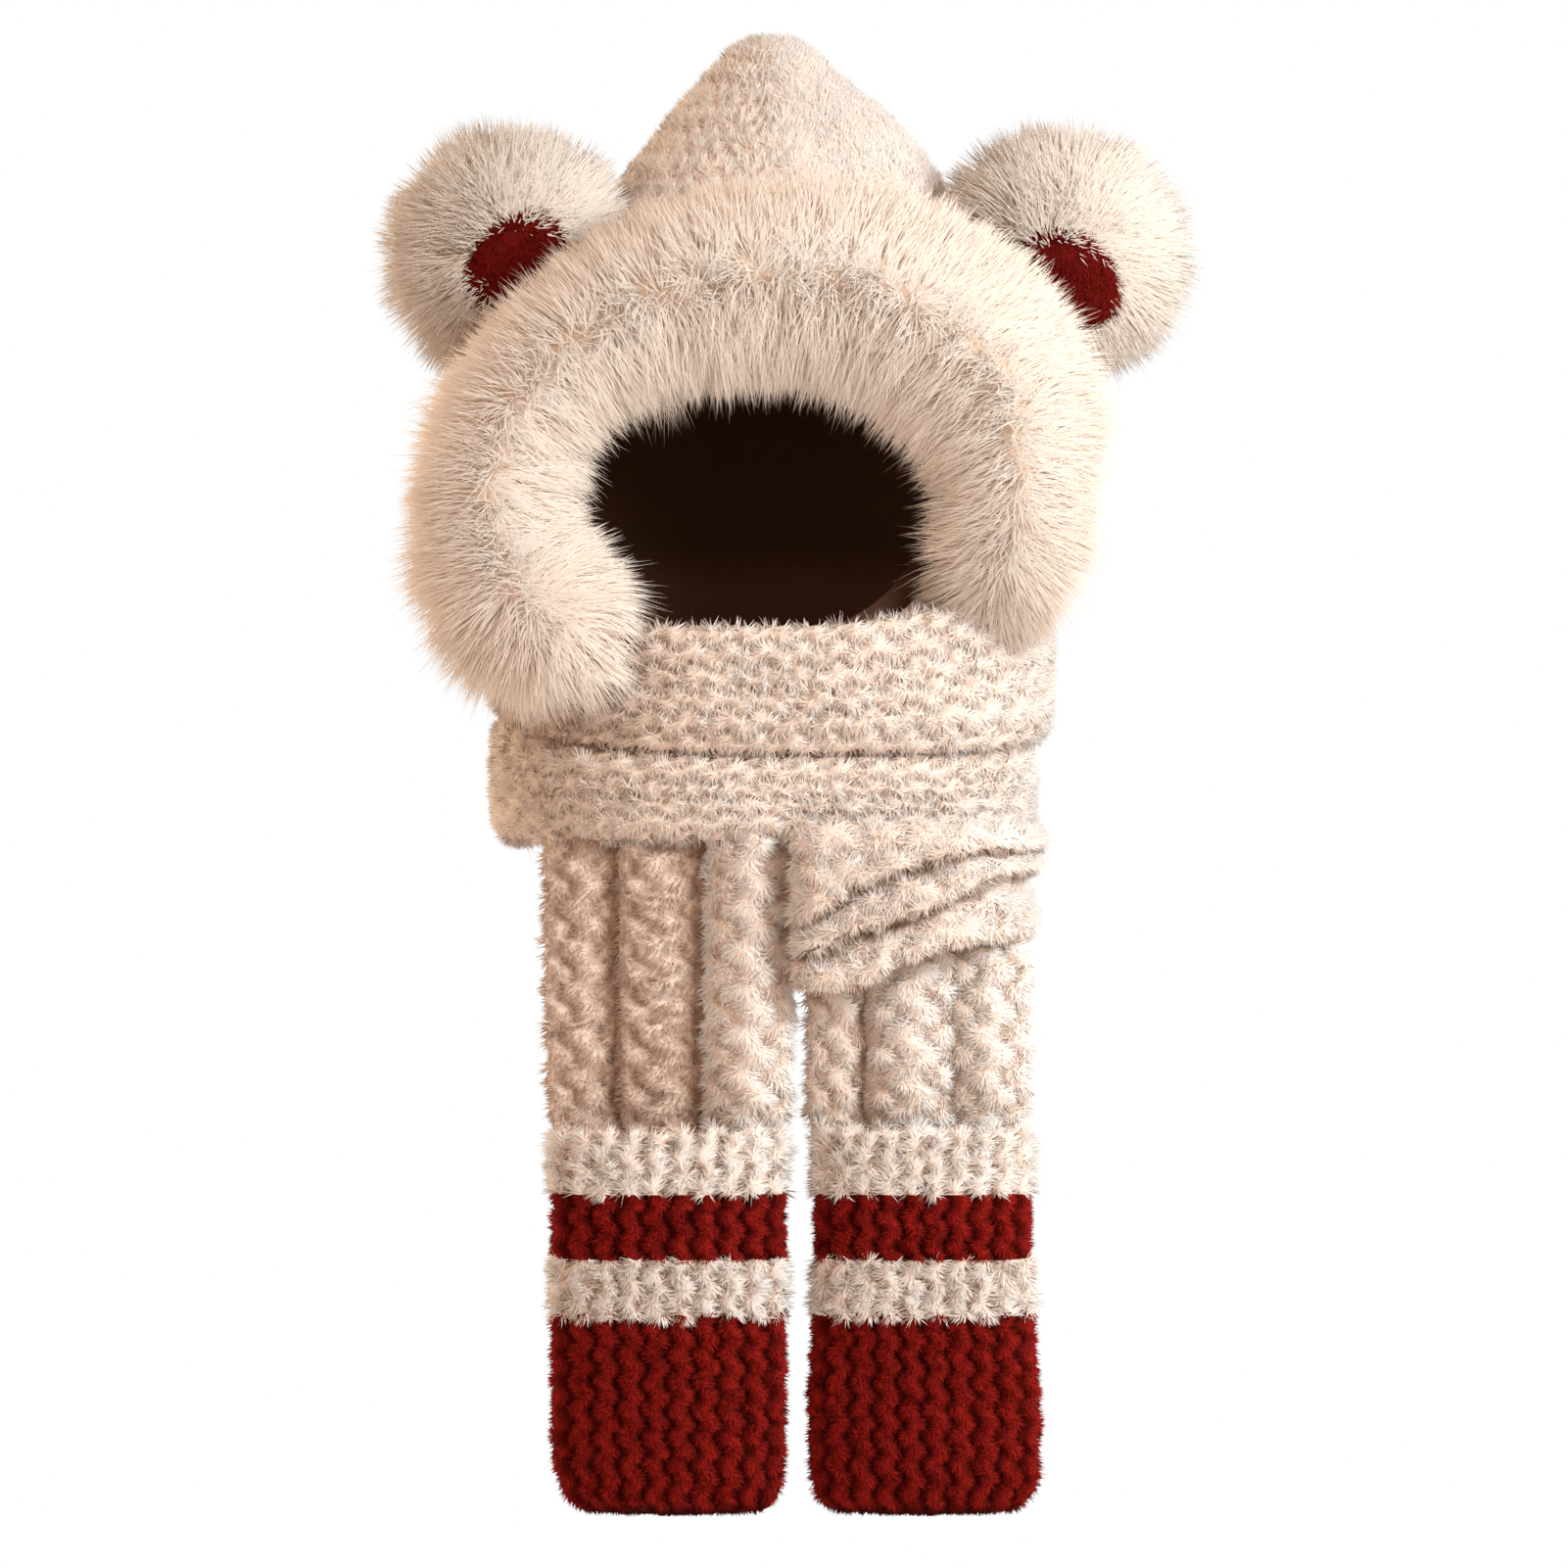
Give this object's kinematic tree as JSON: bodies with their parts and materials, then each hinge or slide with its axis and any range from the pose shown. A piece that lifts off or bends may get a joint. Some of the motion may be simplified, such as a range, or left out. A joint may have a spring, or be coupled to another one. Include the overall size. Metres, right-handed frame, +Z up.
{
  "type": "hooded scarf with mittens",
  "caption": "Plush hood with a deep fur brim and two round ears, joined to a wrapped scarf whose hanging ends carry striped mitten pockets.",
  "frame": {"origin": "where the crown of the wearer's head sits, inside the hood below its peak", "axes": "+Z up, along the wearer's body; -Y the way the wearer looks; +X on the right of someone facing the wearer"},
  "size_m": [0.414, 0.2898, 0.7676],
  "materials": {
    "cream_plush": "knitted plush, matt",
    "cream_fur": "long fur, matt",
    "red_plush": "knitted plush, matt",
    "dark_lining": "short plush, matt"
  },
  "bodies": {
    "root": {"hood": "cream_plush", "hood_lining": "dark_lining", "fur_brim": "cream_fur", "ear_left": "cream_fur", "ear_right": "cream_fur", "ear_patch_left": "red_plush", "ear_patch_right": "red_plush", "neck_band_upper": "cream_plush", "neck_band_lower": "cream_plush", "neck_fold": "cream_plush", "scarf_end_left": "cream_plush", "scarf_end_right": "cream_plush", "cuff_left": "cream_plush", "red_stripe_left": "red_plush", "cream_stripe_left": "cream_plush", "mitten_hand_left": "red_plush", "cuff_right": "cream_plush", "red_stripe_right": "red_plush", "cream_stripe_right": "cream_plush", "mitten_hand_right": "red_plush"}
  },
  "joints": []
}
